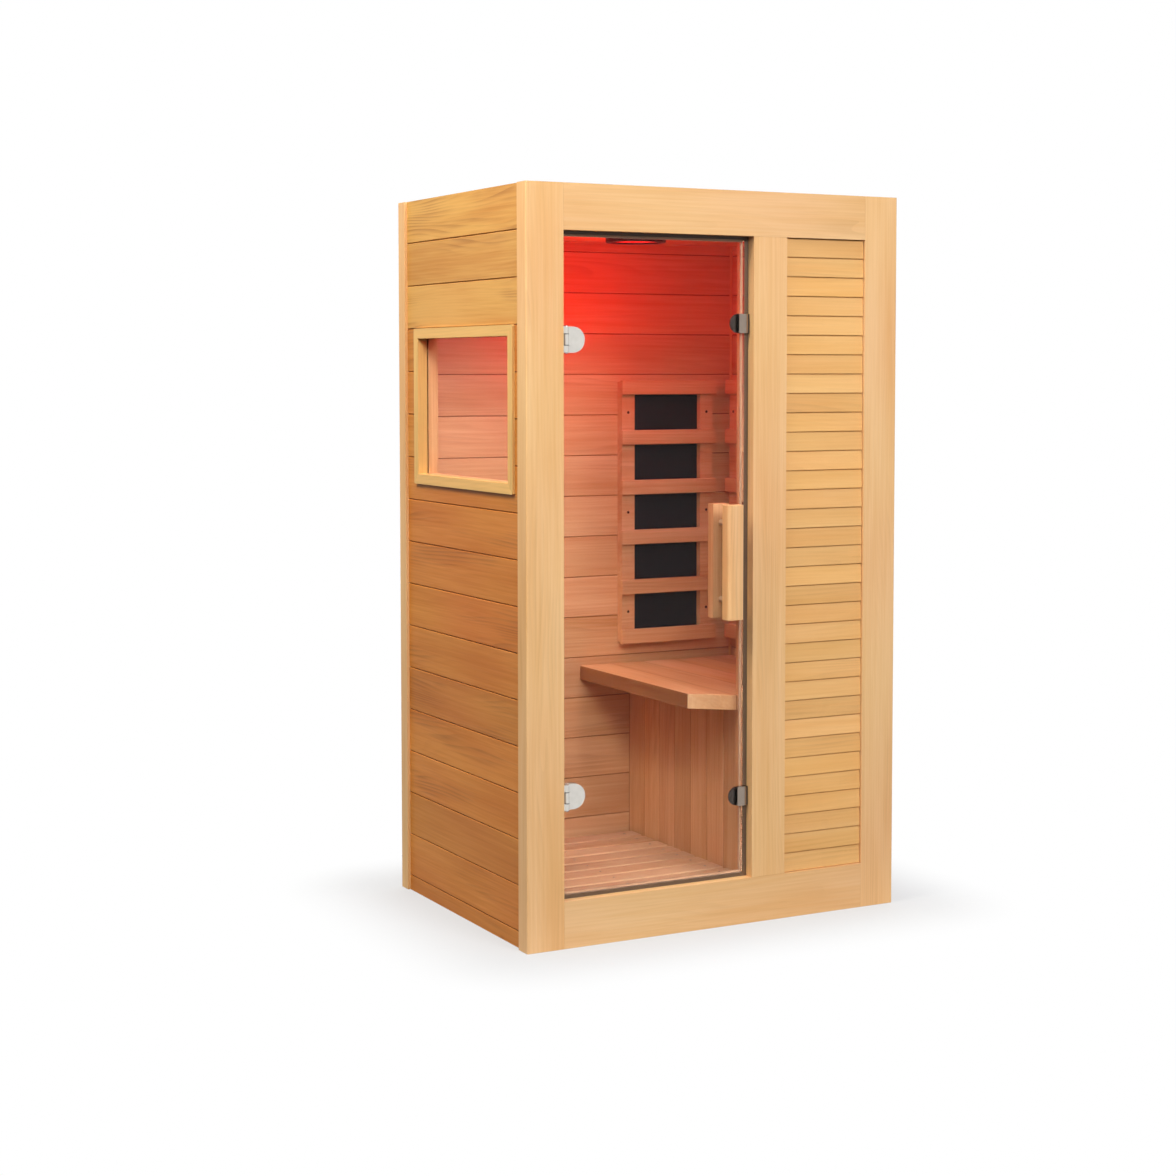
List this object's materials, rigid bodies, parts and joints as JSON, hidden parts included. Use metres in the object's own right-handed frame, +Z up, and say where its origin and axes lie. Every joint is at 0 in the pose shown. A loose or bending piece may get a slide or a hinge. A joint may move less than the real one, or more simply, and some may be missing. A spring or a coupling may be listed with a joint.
{
  "type": "infrared sauna cabin",
  "caption": "Upright timber infrared sauna cabin with a hinged glass door, a side window, a louvred front strip, a corner bench and slatted wall heaters inside.",
  "frame": {"origin": "middle of the footprint of the cabin's walls, on the floor", "axes": "+X to the right seen from in front of the door, +Y from the door to the back wall, +Z up"},
  "size_m": [1.1, 0.831, 1.9],
  "materials": {
    "front_timber": "satin pale hemlock",
    "boards": "satin golden hemlock boards",
    "plain_timber": "unfinished plain timber and plywood",
    "chrome_fittings": "polished",
    "steel_pins": "plain",
    "door_glass": "clear toughened, bare",
    "window_glass": "clear",
    "seal_rubber": "matt black",
    "heater_emitter": "matt black carbon panel",
    "dark_plastic": "fine satin",
    "buttons": "satin grey",
    "control_box": "grey paint",
    "lamp_lens": "glowing red, frosted"
  },
  "bodies": {
    "cabin": {"front_left_stile": "front_timber", "front_mid_stile": "front_timber", "front_right_stile": "front_timber", "front_top_rail": "front_timber", "front_bottom_rail": "front_timber", "front_louvre": "front_timber", "back_left_stile": "front_timber", "back_right_stile": "front_timber", "window_outer_casing": "front_timber", "left_outer_boards": "boards", "right_outer_boards": "boards", "back_outer_boards": "boards", "left_inner_boards": "boards", "right_inner_boards": "boards", "back_inner_boards": "boards", "front_inner_boards": "boards", "door_stop_post": "boards", "window_inner_casing": "boards", "ceiling_boards": "boards", "floor_duckboard": "boards", "bench_top": "boards", "bench_panel": "boards", "heater_back_grille": "boards", "heater_side_rear_grille": "boards", "heater_side_front_grille": "boards", "floor_base": "plain_timber", "roof_frame": "plain_timber", "roof_cover": "plain_timber", "bench_cleat_front": "plain_timber", "bench_cleat_back": "plain_timber", "hinge_upper_frame_leaf": "chrome_fittings", "hinge_lower_frame_leaf": "chrome_fittings", "hinge_upper_pin": "steel_pins", "hinge_lower_pin": "steel_pins", "window_pane": "window_glass", "door_seal": "seal_rubber", "heater_back_emitter": "heater_emitter", "heater_side_rear_emitter": "heater_emitter", "heater_side_front_emitter": "heater_emitter", "lamp_housing": "dark_plastic", "keypad_housing": "dark_plastic", "power_inlet_gland": "dark_plastic", "catch_upper_magnet": "dark_plastic", "catch_lower_magnet": "dark_plastic", "control_box": "control_box", "lamp_lens": "lamp_lens"},
    "door": {"door_glass": "door_glass", "handle_outer_bar": "boards", "handle_inner_bar": "boards", "handle_bolt_upper": "steel_pins", "handle_bolt_lower": "steel_pins", "hinge_upper_glass_leaf": "chrome_fittings", "hinge_lower_glass_leaf": "chrome_fittings", "hinge_upper_clamp": "chrome_fittings", "hinge_lower_clamp": "chrome_fittings", "catch_upper_clip": "chrome_fittings", "catch_lower_clip": "chrome_fittings"},
    "power_button": {"button_power": "buttons"},
    "light_button": {"button_light": "buttons"},
    "heat_button": {"button_heat": "buttons"}
  },
  "joints": [
    {"name": "door_swing", "type": "hinge", "parent": "cabin", "child": "door", "pos_m": [-0.436, -0.392, 0.94], "axis": [0, 0, -1], "range_deg": [0, 110]},
    {"name": "power_button_press", "type": "slide", "parent": "cabin", "child": "power_button", "axis": [0, -1, 0], "range_m": [0, 0.0015], "stiffness_N_per_m": 900},
    {"name": "light_button_press", "type": "slide", "parent": "cabin", "child": "light_button", "axis": [0, -1, 0], "range_m": [0, 0.0015], "stiffness_N_per_m": 900},
    {"name": "heat_button_press", "type": "slide", "parent": "cabin", "child": "heat_button", "axis": [0, -1, 0], "range_m": [0, 0.0015], "stiffness_N_per_m": 900}
  ]
}
